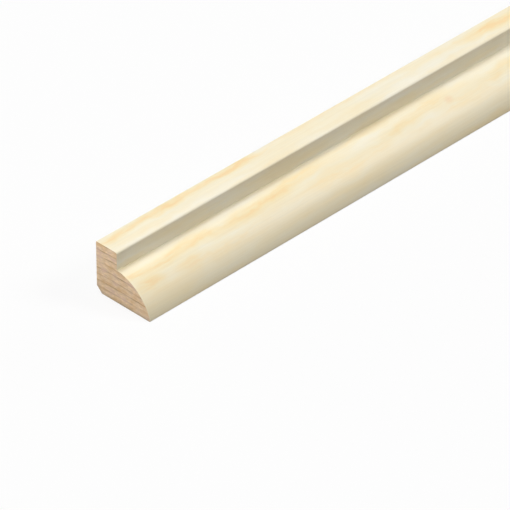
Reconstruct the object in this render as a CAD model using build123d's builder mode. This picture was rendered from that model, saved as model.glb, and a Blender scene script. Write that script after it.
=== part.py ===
from build123d import *
import os

# A softwood glazing bead: one planed and moulded length of pine, the same section from end to end.
# It stands as it lies in a rebate. The glass face is the flat side at -X, the seat is the flat
# underside, and the moulded side with its step and ovolo faces +X. The length runs along Y.
# The origin is the middle of the bottom of the bead's box. Millimetres.

bead_width = 20.0  # across the seat, from the glass face to the foot of the ovolo
bead_height = 16.0  # up the glass
bead_length = 2400.0

crown_width = 7.8  # the flat top beside the glass
step_depth = 5.5  # from the flat top down to the start of the ovolo
ovolo_radius = 14.0
foot_height = 0.4  # the upright nosing under the ovolo, which keeps the foot from feathering
heel_chamfer = 1.9  # clears the sealant where glass and rebate meet

crown_arris = 0.6  # the eased corner above the step
fine_arris = 0.3  # the other long corners, barely eased by the planer

glass_x = -bead_width / 2
foot_x = bead_width / 2
step_x = glass_x + crown_width
root_z = bead_height - step_depth

with BuildPart() as glazing_bead:
    with BuildSketch(Plane.XZ) as section:
        with BuildLine():
            Polyline(
                (foot_x, foot_height),
                (foot_x, 0),
                (glass_x + heel_chamfer, 0),
                (glass_x, heel_chamfer),
                (glass_x, bead_height),
                (step_x, bead_height),
                (step_x, root_z),
            )
            RadiusArc((step_x, root_z), (foot_x, foot_height), ovolo_radius)
        make_face()

        top_back, top_front = section.vertices().group_by(Axis.Y)[-1].sort_by(Axis.X)
        foot_corner = section.vertices().group_by(Axis.Y)[0].sort_by(Axis.X)[-1]
        fillet(top_front, crown_arris)
        fillet(top_back, fine_arris)
        fillet(foot_corner, fine_arris)
    extrude(amount=bead_length / 2, both=True)

os.makedirs("parts", exist_ok=True)
glazing_bead.part.label = "glazing_bead"
export_step(glazing_bead.part, "parts/glazing_bead.step")
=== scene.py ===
"""A planed pine glazing bead on a pale studio floor. Metres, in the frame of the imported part."""

import math

import bmesh
import bpy
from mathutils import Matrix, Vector


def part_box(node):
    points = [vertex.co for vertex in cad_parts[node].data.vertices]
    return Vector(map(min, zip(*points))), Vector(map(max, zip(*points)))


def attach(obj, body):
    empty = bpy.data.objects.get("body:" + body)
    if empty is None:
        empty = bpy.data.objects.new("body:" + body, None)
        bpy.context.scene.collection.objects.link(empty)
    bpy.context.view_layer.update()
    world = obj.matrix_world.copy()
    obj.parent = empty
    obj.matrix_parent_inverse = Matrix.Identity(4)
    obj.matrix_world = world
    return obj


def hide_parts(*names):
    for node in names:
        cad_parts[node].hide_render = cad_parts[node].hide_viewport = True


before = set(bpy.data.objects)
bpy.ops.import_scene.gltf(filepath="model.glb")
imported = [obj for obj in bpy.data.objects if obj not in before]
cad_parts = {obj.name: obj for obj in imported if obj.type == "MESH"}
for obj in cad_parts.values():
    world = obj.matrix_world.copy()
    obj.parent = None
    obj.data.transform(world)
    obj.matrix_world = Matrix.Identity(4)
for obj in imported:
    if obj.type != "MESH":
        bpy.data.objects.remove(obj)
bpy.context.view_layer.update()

MM = 0.001

# The bead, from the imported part: the glass face is at low X, the near end at low Y, the seat at Z 0.
low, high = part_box("glazing_bead")
glass_x, foot_x = low[0], high[0]
near_y, far_y = low[1], high[1]
seat_z, crown_z = low[2], high[2]
bead_length = far_y - near_y

# The section's own sizes
crown_width = 7.8 * MM
step_depth = 5.5 * MM
ovolo_radius = 14.0 * MM
foot_height = 0.4 * MM
heel_chamfer = 1.9 * MM
crown_arris = 0.6 * MM
fine_arris = 0.3 * MM
sawn_arris = 0.08 * MM  # where the cross-cut meets the long faces
step_x = glass_x + crown_width
root_z = crown_z - step_depth
foot_top_z = seat_z + foot_height

# The long faces are cut into lengths, so that each face lies in one strip of the map
face_length = 100 * MM

# How squarely a face looks along the stick: past the first it is on a sawn arris, past the second it
# shows end grain
arris_facing, end_facing = 0.3, 0.6

# The map for export: strips of the long faces, and the ends above them, in parts of the map's side
strip_length = bead_length / 4
strip_height = 0.195
map_margin = 0.01
ends_bottom = 0.84
far_end_left = 0.25  # the near end is at the margin
end_scale = 0.15 / (crown_z - seat_z)

noise_mean = 0.5

# Growth rings, in millimetres from the glass face, the near end and the seat
ring_spacing = 1.97
first_ring = 0.35  # height of the lowest ring line on the near end
ring_wander, ring_ripple = 0.8, 0.2  # how far a ring strays from its circle, in broad and in fine waves
mean_stray = (ring_wander + ring_ripple) * noise_mean
pith_x, pith_depth = 9.0, 150.0  # the heart of the tree, far below the seat, so the rings are nearly flat
grain_swell = 6.0  # the rings sink and rise again along the stick, by this to either side
swell_length, swell_start = 750.0, 25.0  # the rings lie lowest at the start of a swell

# Where the rings come up to the near part of the planed faces as honey streaks, in millimetres:
# place along the stick, place across it, half length, half width, slant in degrees, depth of colour
crown_streaks = (
    (4, 2.3, 11, 1.8, 3, 0.9), (24, 1.8, 24, 1.7, 0, 0.95), (50, 1.5, 18, 1.6, 0, 1.05),
    (84, 0.6, 30, 1.0, 0, 0.3), (20, 5.6, 22, 1.4, 0, 0.25), (129, 2.0, 12, 1.4, -4, 0.35),
    (147, 3.4, 19, 2.1, -3, 0.85))
ovolo_streaks = (
    (4, 11.6, 9, 1.9, -5, 0.75), (14, 11.8, 10, 1.9, 6, 0.7), (24, 11.2, 11, 1.9, 0, 0.7),
    (30, 12.8, 10, 2.0, -4, 0.35), (42, 12.0, 14, 2.2, 0, 0.55), (53, 12.4, 13, 2.2, 3, 0.5),
    (66, 10.9, 15, 2.0, 5, 0.5), (90, 9.6, 24, 1.6, 0, 0.35), (4.5, 15.2, 8, 2.6, 0, 0.75),
    (19, 15.4, 8, 2.2, 0, 0.45), (38, 16.6, 24, 2.8, 0, 0.4), (76, 15.2, 22, 2.4, 0, 0.5),
    (100, 13.4, 18, 2.2, 7, 0.5), (115, 11.0, 12, 2.2, 8, 0.5), (126, 15.0, 14, 2.6, -5, 0.45),
    (143, 13.0, 18, 2.2, 7, 0.45))
streak_depth = 2.5  # as its half width, but into the wood
rim_fade = 1.35  # a streak reaches this many half widths from its middle before it is gone
fibre_drift = (2.8, 6, 2.8)  # the whole range that fibres wander in, across, along and up
pin_knot = (121, 12.9, 1.3)  # along, across and half width
chance_start, chance_full = 135.0, 180.0  # along here, streaks that fall by chance take over


def linear(hex_colour):
    """An sRGB hex colour as the linear RGBA that a shader wants."""
    parts = [int(hex_colour[i:i + 2], 16) / 255 for i in (1, 3, 5)]
    return [c / 12.92 if c <= 0.04045 else ((c + 0.055) / 1.055) ** 2.4 for c in parts] + [1.0]


def add(tree, kind, inputs=None, **settings):
    """Adds a node, with its settings, and sets or links its inputs. A Mix node of colours takes its factor
    at 0 and its colours at 6 and 7, and gives the result at 2."""
    made = tree.nodes.new("ShaderNode" + kind)
    for name, value in settings.items():
        setattr(made, name, value)
    for socket, value in (inputs or {}).items():
        if isinstance(value, bpy.types.NodeSocket):
            tree.links.new(value, made.inputs[socket])
        else:
            made.inputs[socket].default_value = value
    return made


def new_material(name):
    """An empty node material and its node tree."""
    material = bpy.data.materials.new(name)
    material.use_nodes = True
    material.node_tree.nodes.clear()
    return material, material.node_tree


# The wood's growth, shared by the planed faces and the sawn ends, so that rings meet at the edges

def grown_place(tree):
    """The place in the stick, in millimetres from the glass face, the near end and the seat."""
    where = add(tree, "TexCoord").outputs["Object"]
    shift = [-glass_x / MM, -near_y / MM, -seat_z / MM]
    return add(tree, "Mapping", {"Vector": where, "Location": shift, "Scale": [1 / MM] * 3}).outputs[0]


def stretched_noise(tree, place, size, detail=2.0, roughness=0.5, output="Fac"):
    """Noise whose lumps measure size millimetres across the width, along the length and up."""
    squeezed = add(tree, "Mapping", {"Vector": place, "Scale": [1 / s for s in size]}).outputs[0]
    noise = {"Vector": squeezed, "Scale": 1.0, "Detail": detail, "Roughness": roughness}
    return add(tree, "TexNoise", noise).outputs[output]


def growth_rings(tree, place):
    """How far a place is through its growth ring, from 0 where the pale early wood starts to 1."""
    along = add(tree, "SeparateXYZ", {"Vector": place}).outputs["Y"]
    turn = 2 * math.pi / swell_length
    swell = add(tree, "Math", {0: along, 1: turn, 2: -turn * swell_start}, operation="MULTIPLY_ADD")
    swell = add(tree, "Math", {0: swell.outputs[0]}, operation="COSINE")
    rise = {0: swell.outputs[0], 1: -grain_swell, 2: grain_swell}
    lift = add(tree, "Math", rise, operation="MULTIPLY_ADD").outputs[0]
    for size, reach in (((11, 45, 9), ring_wander), ((2.2, 30, 1.6), ring_ripple)):
        wave = stretched_noise(tree, place, size)
        lift = add(tree, "Math", {0: wave, 1: reach, 2: lift}, operation="MULTIPLY_ADD").outputs[0]
    from_pith = add(tree, "VectorMath", {0: place, 1: (pith_x, 0, -pith_depth)}, operation="SUBTRACT")
    across = add(tree, "VectorMath", {0: from_pith.outputs[0], 1: (1, 0, 1)}, operation="MULTIPLY")
    radius = add(tree, "VectorMath", {0: across.outputs[0]}, operation="LENGTH")
    height = add(tree, "Math", {0: radius.outputs["Value"], 1: lift}, operation="SUBTRACT")
    count_from = -(pith_depth + first_ring - mean_stray) / ring_spacing
    number = {0: height.outputs[0], 1: 1 / ring_spacing, 2: count_from}
    number = add(tree, "Math", number, operation="MULTIPLY_ADD")
    return add(tree, "Math", {0: number.outputs[0]}, operation="FRACT").outputs[0]


def toned(tree, colour, noise, darkest, lightest):
    """The colour, darker where a noise is low and lighter where it is high."""
    tone = add(tree, "MapRange", {"Value": noise, "From Min": 0.3, "From Max": 0.7,
                                  "To Min": darkest, "To Max": lightest})
    return add(tree, "Mix", {0: 1.0, 6: colour, 7: tone.outputs[0]},
               data_type="RGBA", blend_type="MULTIPLY").outputs[2]


def shade(tree, value, stops):
    """A ramp through stops of (place, sRGB hex colour)."""
    ramp = add(tree, "ValToRGB", {"Fac": value})
    bands = ramp.color_ramp.elements
    while len(bands) < len(stops):
        bands.new(0.5)
    for band, (position, colour) in zip(bands, stops):
        band.position = position
        band.color = linear(colour)
    return ramp.outputs["Color"]


def face_height(across):
    """Height in millimetres of the planed face over a place across the section."""
    centre_x, centre_z = ovolo_centre()
    x = across * MM + glass_x
    if x < step_x:
        return (crown_z - seat_z) / MM
    return (centre_z + math.sqrt(ovolo_radius ** 2 - (x - centre_x) ** 2) - seat_z) / MM


def soft_spot(tree, place, along, across, half_length, half_width, slant=0.0):
    """1 in the middle of a long soft spot in a planed face, fading to 0 at its rim."""
    spot = {"Vector": place, "Location": (across, along, face_height(across)),
            "Rotation": (0, 0, math.radians(slant)),
            "Scale": (half_width * rim_fade, half_length, streak_depth * rim_fade)}
    spot = add(tree, "Mapping", spot, vector_type="TEXTURE")
    from_middle = add(tree, "VectorMath", {0: spot.outputs[0]}, operation="LENGTH")
    return add(tree, "MapRange", {"Value": from_middle.outputs["Value"], "To Min": 1, "To Max": 0},
               interpolation_type="SMOOTHSTEP").outputs[0]


def drifted(tree, place):
    """The place, pushed about a little, as fibres wander from a straight line."""
    push = stretched_noise(tree, place, (8, 7, 8), output="Color")
    push = add(tree, "VectorMath", {0: push, 1: [noise_mean] * 3}, operation="SUBTRACT")
    pushed = {0: push.outputs[0], 1: fibre_drift, 2: place}
    return add(tree, "VectorMath", pushed, operation="MULTIPLY_ADD").outputs[0]


def honey_streaks(tree, place):
    """Depth of the honey colour: where it was seen on the near part, and as it falls past that."""
    pushed = drifted(tree, place)
    total = None
    for along, across, half_length, half_width, slant, depth in crown_streaks + ovolo_streaks:
        spot = soft_spot(tree, pushed, along, across, half_length, half_width, slant)
        total = {0: spot, 1: depth, 2: total or 0.0}
        total = add(tree, "Math", total, operation="MULTIPLY_ADD").outputs[0]
    chance = stretched_noise(tree, pushed, (3.2, 42, 3.2), detail=2.5)
    chance = add(tree, "MapRange", {"Value": chance, "From Min": 0.53, "From Max": 0.8}).outputs[0]
    along = add(tree, "SeparateXYZ", {"Vector": place}).outputs["Y"]
    beyond = add(tree, "MapRange", {"Value": along, "From Min": chance_start, "From Max": chance_full})
    total = {0: chance, 1: beyond.outputs[0], 2: total}
    return add(tree, "Math", total, operation="MULTIPLY_ADD").outputs[0]


def planed_pine():
    """Scots pine off the moulding machine: bare, dry and smooth, with a low waxy sheen. Cut nearly along
    its rings, it is a clear cream, with long soft honey streaks where a ring comes to the surface."""
    material, tree = new_material("planed_pine")
    place = grown_place(tree)
    # the rings themselves only just show on a face that lies along them
    figure = shade(tree, growth_rings(tree, place),
                   ((0, "#000000"), (0.35, "#000000"), (0.8, "#bcbcbc"), (1, "#000000")))
    # between the streaks the colour comes and goes in soft wisps, and it is a shade deeper low on the
    # ovolo, which is nearer the heart
    wisp = stretched_noise(tree, drifted(tree, place), (3.8, 24, 3.8), detail=2.5)
    wisp = add(tree, "MapRange", {"Value": wisp, "From Min": 0.3, "From Max": 0.7,
                                  "To Min": 0.03, "To Max": 0.4})
    from_glass = add(tree, "SeparateXYZ", {"Vector": place}).outputs["X"]
    nearer_heart = add(tree, "MapRange", {"Value": from_glass, "From Min": 13.5, "From Max": 19,
                                          "To Max": 0.2})
    # a streak is a bundle of finer strands
    strand = stretched_noise(tree, drifted(tree, place), (1.1, 9, 1.1))
    strand = add(tree, "MapRange", {"Value": strand, "From Min": 0.3, "From Max": 0.7,
                                    "To Min": 0.4, "To Max": 1.15})
    depth = {0: honey_streaks(tree, place), 1: strand.outputs[0], 2: wisp.outputs[0]}
    depth = add(tree, "Math", depth, operation="MULTIPLY_ADD")
    depth = add(tree, "Math", {0: figure, 1: 0.08, 2: depth.outputs[0]}, operation="MULTIPLY_ADD")
    depth = add(tree, "Math", {0: depth.outputs[0], 1: nearer_heart.outputs[0]}, operation="ADD")
    honey = shade(tree, depth.outputs[0],
                  ((0, "#f4efde"), (0.27, "#f4e9cb"), (0.65, "#f4e1b5"), (1, "#f4d7a1")))
    # paler and greyer clouds, a hand's breadth long
    cloud = stretched_noise(tree, place, (5, 48, 5))
    cloud = add(tree, "MapRange", {"Value": cloud, "From Min": 0.45, "From Max": 0.7, "To Max": 0.15})
    clouded = add(tree, "Mix", {0: cloud.outputs[0], 6: honey, 7: linear("#f3ead4")}, data_type="RGBA")
    # the pin knot is hardly darker than the wood round it
    along, across, half_width = pin_knot
    knot = soft_spot(tree, place, along, across, half_width * 1.8, half_width)
    knot = add(tree, "Math", {0: knot, 1: 0.35}, operation="MULTIPLY")
    knotted = {0: knot.outputs[0], 6: clouded.outputs[2], 7: linear("#f0c394")}
    knotted = add(tree, "Mix", knotted, data_type="RGBA")
    # fibres are 0.03 mm wide in pine, drawn ten times as coarse so that they show
    fibre = stretched_noise(tree, place, (0.3, 22, 0.3))
    colour = toned(tree, knotted.outputs[2], fibre, 0.975, 1.015)
    gloss = add(tree, "MapRange", {"Value": depth.outputs[0], "To Min": 0.5, "To Max": 0.4})
    bump = add(tree, "Bump", {"Height": fibre, "Strength": 0.12, "Distance": 0.02 * MM})
    shader = add(tree, "BsdfPrincipled", {"Base Color": colour, "Roughness": gloss.outputs[0],
                                          "IOR": 1.5, "Normal": bump.outputs[0]})
    add(tree, "OutputMaterial", {"Surface": shader.outputs[0]})
    return material


def sawn_end_grain():
    """The same pine cut across by a fine saw: open tube ends drink the light, so it is browner than the
    faces, dull, and its rings show as thin dark lines."""
    material, tree = new_material("sawn_end_grain")
    place = grown_place(tree)
    late = shade(tree, growth_rings(tree, place),
                 ((0, "#000000"), (0.3, "#000000"), (0.7, "#5a5a5a"), (0.86, "#d8d8d8"),
                  (0.95, "#ffffff"), (1, "#000000")))
    # each ring has its own strength, and fades here and there on its way across
    strength = stretched_noise(tree, place, (7, 60, 1.5))
    strength = add(tree, "MapRange", {"Value": strength, "From Min": 0.35, "From Max": 0.65,
                                      "To Min": 0.25, "To Max": 1.2})
    late = add(tree, "Math", {0: late, 1: strength.outputs[0]}, operation="MULTIPLY")
    ringed = {0: late.outputs[0], 6: linear("#f1d5b3"), 7: linear("#be9a72")}
    ringed = add(tree, "Mix", ringed, data_type="RGBA")
    # tufts stand up from the saw, and some cells hold more resin
    fleck = stretched_noise(tree, place, (1.7, 5, 0.5), detail=3, roughness=0.7)
    flecked = toned(tree, ringed.outputs[2], fleck, 0.8, 1.19)
    patch = stretched_noise(tree, place, (4, 12, 1.8), detail=3)
    resinous = flecked
    for full_at, colour in ((0.66, "#e0b988"), (0.34, "#e3c2ae")):  # yellower patches, and redder ones
        amount = add(tree, "MapRange", {"Value": patch, "From Min": 0.48, "From Max": full_at,
                                        "To Max": 0.7})
        resinous = {0: amount.outputs[0], 6: resinous, 7: linear(colour)}
        resinous = add(tree, "Mix", resinous, data_type="RGBA").outputs[2]
    # painted shade: the end grain is darker along its lower edge and the heel, where the bead sits on the
    # floor
    at = add(tree, "SeparateXYZ", {"Vector": place}).outputs
    slope = add(tree, "Math", {0: at["X"], 1: at["Z"]}, operation="ADD")
    diagonal = math.sqrt(0.5)  # the chamfer runs at 45 degrees
    from_heel = {0: slope.outputs[0], 1: diagonal, 2: -diagonal * heel_chamfer / MM}
    from_heel = add(tree, "Math", from_heel, operation="MULTIPLY_ADD")
    from_edge = add(tree, "Math", {0: at["Z"], 1: from_heel.outputs[0]}, operation="MINIMUM")
    painted_contact_shade = add(tree, "MapRange", {"Value": from_edge.outputs[0], "From Min": 0.35, "From Max": 1.2,
                                    "To Min": 0.4, "To Max": 0})
    # mixes in the painted shade at the lower edge and the heel
    contact_shaded_end = add(tree, "Mix", {0: painted_contact_shade.outputs[0], 6: resinous, 7: linear("#ab9b87")}, data_type="RGBA")
    bump = add(tree, "Bump", {"Height": fleck, "Strength": 0.4, "Distance": 0.08 * MM})
    shader = add(tree, "BsdfPrincipled", {"Base Color": contact_shaded_end.outputs[2], "Roughness": 0.85, "IOR": 1.5,
                                          "Specular IOR Level": 0.2, "Normal": bump.outputs[0]})
    add(tree, "OutputMaterial", {"Surface": shader.outputs[0]})
    return material


# The bead

def ovolo_centre():
    """The centre of the arc that runs from the root of the step to the top of the foot."""
    across, down = foot_x - step_x, root_z - foot_top_z
    chord = math.hypot(across, down)
    reach = math.sqrt(ovolo_radius ** 2 - chord ** 2 / 4)
    centre_x = (step_x + foot_x) / 2 - down / chord * reach
    centre_z = (root_z + foot_top_z) / 2 - across / chord * reach
    return centre_x, centre_z


def draw_section(bm):
    """The bead's section as one face on the near end, with its eased corners."""
    corners = ((foot_x, foot_top_z), (foot_x, seat_z), (glass_x + heel_chamfer, seat_z),
               (glass_x, seat_z + heel_chamfer), (glass_x, crown_z), (step_x, crown_z), (step_x, root_z))
    points = [bm.verts.new((x, near_y, z)) for x, z in corners]
    for start, end in zip(points, points[1:]):
        bm.edges.new((start, end))
    centre_x, centre_z = ovolo_centre()
    root_angle, foot_angle = (math.asin((x - centre_x) / ovolo_radius) for x in (step_x, foot_x))
    bmesh.ops.spin(bm, geom=[points[-1]], cent=(centre_x, near_y, centre_z), axis=(0, 1, 0),
                   angle=foot_angle - root_angle, steps=40)
    bmesh.ops.remove_doubles(bm, verts=bm.verts, dist=0.001 * MM)
    bmesh.ops.contextual_create(bm, geom=bm.edges)
    for x, z, radius, segments in ((step_x, crown_z, crown_arris, 8), (glass_x, crown_z, fine_arris, 4),
                                   (foot_x, seat_z, fine_arris, 4)):
        corner = [v for v in bm.verts if (v.co - Vector((x, near_y, z))).length < 0.01 * MM]
        bmesh.ops.bevel(bm, geom=corner, offset=radius, offset_type="OFFSET", segments=segments,
                        profile=0.5, affect="VERTICES", material=-1)


def measure_outline(bm):
    """The section's corners in order, each with its distance round the outline, and the whole girth."""
    bm.faces.ensure_lookup_table()
    corners = [v.co.xz for v in bm.faces[0].verts]
    outline, girth = [], 0.0
    for corner, following in zip(corners, corners[1:] + corners[:1]):
        outline.append((corner, girth))
        girth += (following - corner).length
    return outline, girth


def lay_out_map(bm, outline, girth):
    """The map that colours are baked to: the long faces in strips, one above the other, and over them
    the two sawn ends with their arrises, drawn larger."""
    layer = bm.loops.layers.uv.new("OFBake")
    for face in bm.faces:
        middle = face.calc_center_median()
        if abs(face.normal.y) > arris_facing:
            left = map_margin if middle.y < (near_y + far_y) / 2 else far_end_left
            for loop in face.loops:
                loop[layer].uv = (left + (loop.vert.co.x - glass_x) * end_scale,
                                  ends_bottom + (loop.vert.co.z - seat_z) * end_scale)
            continue
        strip = int((middle.y - near_y) / strip_length)
        rounds = [min(outline, key=lambda spot: (spot[0] - loop.vert.co.xz).length)[1]
                  for loop in face.loops]
        for loop, around in zip(face.loops, rounds):
            if around == 0 and max(rounds) > girth / 2:  # the face that closes the outline
                around = girth
            along = (loop.vert.co.y - near_y - strip * strip_length) / strip_length
            bottom = map_margin + strip * (strip_height + map_margin)
            loop[layer].uv = (map_margin + along * (1 - 2 * map_margin),
                              bottom + around / girth * strip_height)


def saw_and_mould():
    """The whole stick as a closed mesh: the section drawn along its length, its ends sawn square."""
    bm = bmesh.new()
    draw_section(bm)
    outline, girth = measure_outline(bm)
    drawn = bmesh.ops.extrude_face_region(bm, geom=bm.faces[:])["geom"]
    far_end = [v for v in drawn if isinstance(v, bmesh.types.BMVert)]
    bmesh.ops.translate(bm, verts=far_end, vec=(0, bead_length, 0))
    bmesh.ops.recalc_face_normals(bm, faces=bm.faces)
    rims = [e for e in bm.edges if abs(e.verts[0].co.y - e.verts[1].co.y) < 0.001 * MM]
    bmesh.ops.bevel(bm, geom=rims, offset=sawn_arris, offset_type="OFFSET", segments=2, profile=0.5,
                    affect="EDGES", material=-1, clamp_overlap=False)
    y = near_y + face_length
    while y < far_y - face_length / 2:
        bmesh.ops.bisect_plane(bm, geom=bm.verts[:] + bm.edges[:] + bm.faces[:],
                               plane_co=(0, y, 0), plane_no=(0, 1, 0))
        y += face_length
    bm.normal_update()
    for face in bm.faces:
        face.smooth = True
        face.material_index = int(abs(face.normal.y) > end_facing)
    lay_out_map(bm, outline, girth)
    return bm


def make_bead():
    """The bead as one object, with planed pine in its first slot and end grain in its second."""
    bm = saw_and_mould()
    mesh = bpy.data.meshes.new("moulded_bead")
    bm.to_mesh(mesh)
    bm.free()
    mesh.set_sharp_from_angle(angle=math.radians(35))
    mesh.materials.append(planed_pine())
    mesh.materials.append(sawn_end_grain())
    bead = bpy.data.objects.new("moulded_bead", mesh)
    bpy.context.collection.objects.link(bead)
    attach(bead, "root")
    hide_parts("glazing_bead")


# The studio

def from_bearing(azimuth, elevation):
    """The direction to a place at an azimuth, 0 at -Y and 90 at +X, and an elevation, in degrees."""
    a, e = math.radians(azimuth), math.radians(elevation)
    return Vector((math.sin(a) * math.cos(e), -math.cos(a) * math.cos(e), math.sin(e)))


def hang_lamp(name, azimuth, elevation, strength, spread, glare=True):
    """A distant soft lamp. At strength 1 a face square to it renders its own colour. The low lamps, which
    rake along the bead to reach its ends and back, are hung without glare."""
    lamp = bpy.data.lights.new(name, "SUN")
    lamp.energy = strength * math.pi
    lamp.angle = math.radians(spread)
    holder = bpy.data.objects.new(name, lamp)
    holder.rotation_mode = "QUATERNION"
    holder.rotation_quaternion = from_bearing(azimuth, elevation).to_track_quat("Z", "Y")
    holder.visible_glossy = glare
    bpy.context.collection.objects.link(holder)


def seen_directly(tree):
    """1 where the camera sees a surface, also in a reflection or through glass."""
    path = add(tree, "LightPath").outputs
    seen = path["Is Camera Ray"]
    for ray in ("Is Glossy Ray", "Is Transmission Ray"):
        seen = add(tree, "Math", {0: seen, 1: path[ray]}, operation="MAXIMUM").outputs[0]
    return seen


def lay_floor():
    """A pale studio floor: white to the camera, with a little of the bead's shadow on it."""
    material, tree = new_material("pale_floor")
    white = linear("#fdfdfd")
    glow = add(tree, "Emission", {"Color": white, "Strength": 1.0})
    matt = add(tree, "BsdfDiffuse", {"Color": white})
    shown = add(tree, "MixShader", {0: 0.1, 1: glow.outputs[0], 2: matt.outputs[0]})
    # to bounced light the floor is grey, so it sends little back up to the bead
    bounce = add(tree, "BsdfDiffuse", {"Color": (0.15, 0.15, 0.15, 1)})
    either = add(tree, "MixShader", {0: seen_directly(tree), 1: bounce.outputs[0], 2: shown.outputs[0]})
    add(tree, "OutputMaterial", {"Surface": either.outputs[0]})
    bm = bmesh.new()
    bmesh.ops.create_grid(bm, x_segments=1, y_segments=1, size=30)
    mesh = bpy.data.meshes.new("studio_floor")
    bm.to_mesh(mesh)
    bm.free()
    mesh.materials.append(material)
    floor = bpy.data.objects.new("studio_floor", mesh)
    bpy.context.collection.objects.link(floor)


def light_world(strength):
    """A weak even fill, and white where the camera sees past the floor."""
    world = bpy.data.worlds.new("studio")
    bpy.context.scene.world = world
    world.use_nodes = True
    tree = world.node_tree
    tree.nodes.clear()
    fill = add(tree, "Background", {"Color": (1, 1, 1, 1), "Strength": strength})
    white = add(tree, "Background", {"Color": linear("#fdfdfd"), "Strength": 1.0})
    either = add(tree, "MixShader", {0: seen_directly(tree), 1: fill.outputs[0], 2: white.outputs[0]})
    add(tree, "OutputWorld", {"Surface": either.outputs[0]})


def set_camera():
    """The photograph's view: a long lens, from the moulded side, looking down over the near end."""
    azimuth, elevation, distance = 44.77, 35.53, 1.3672
    aim = Vector((glass_x + 25.6 * MM, near_y + 33.1 * MM, seat_z + 7.6 * MM))
    camera = bpy.data.cameras.new("camera")
    camera.lens = 367.8
    camera.sensor_width = 36
    camera.clip_end = 100
    holder = bpy.data.objects.new("camera", camera)
    back = from_bearing(azimuth, elevation)
    holder.location = aim + back * distance
    holder.rotation_mode = "QUATERNION"
    holder.rotation_quaternion = back.to_track_quat("Z", "Y")
    bpy.context.collection.objects.link(holder)
    bpy.context.scene.camera = holder


make_bead()
lay_floor()
light_world(strength=0.05)
hang_lamp("overhead", azimuth=270, elevation=77, strength=0.56, spread=22)
hang_lamp("front", azimuth=135, elevation=40, strength=0.46, spread=20)
hang_lamp("end", azimuth=0, elevation=6, strength=0.66, spread=20, glare=False)
hang_lamp("back_fill", azimuth=270, elevation=5, strength=0.25, spread=20, glare=False)
hang_lamp("far_fill", azimuth=180, elevation=5, strength=0.35, spread=20, glare=False)
set_camera()
bpy.context.scene.view_settings.view_transform = "Standard"
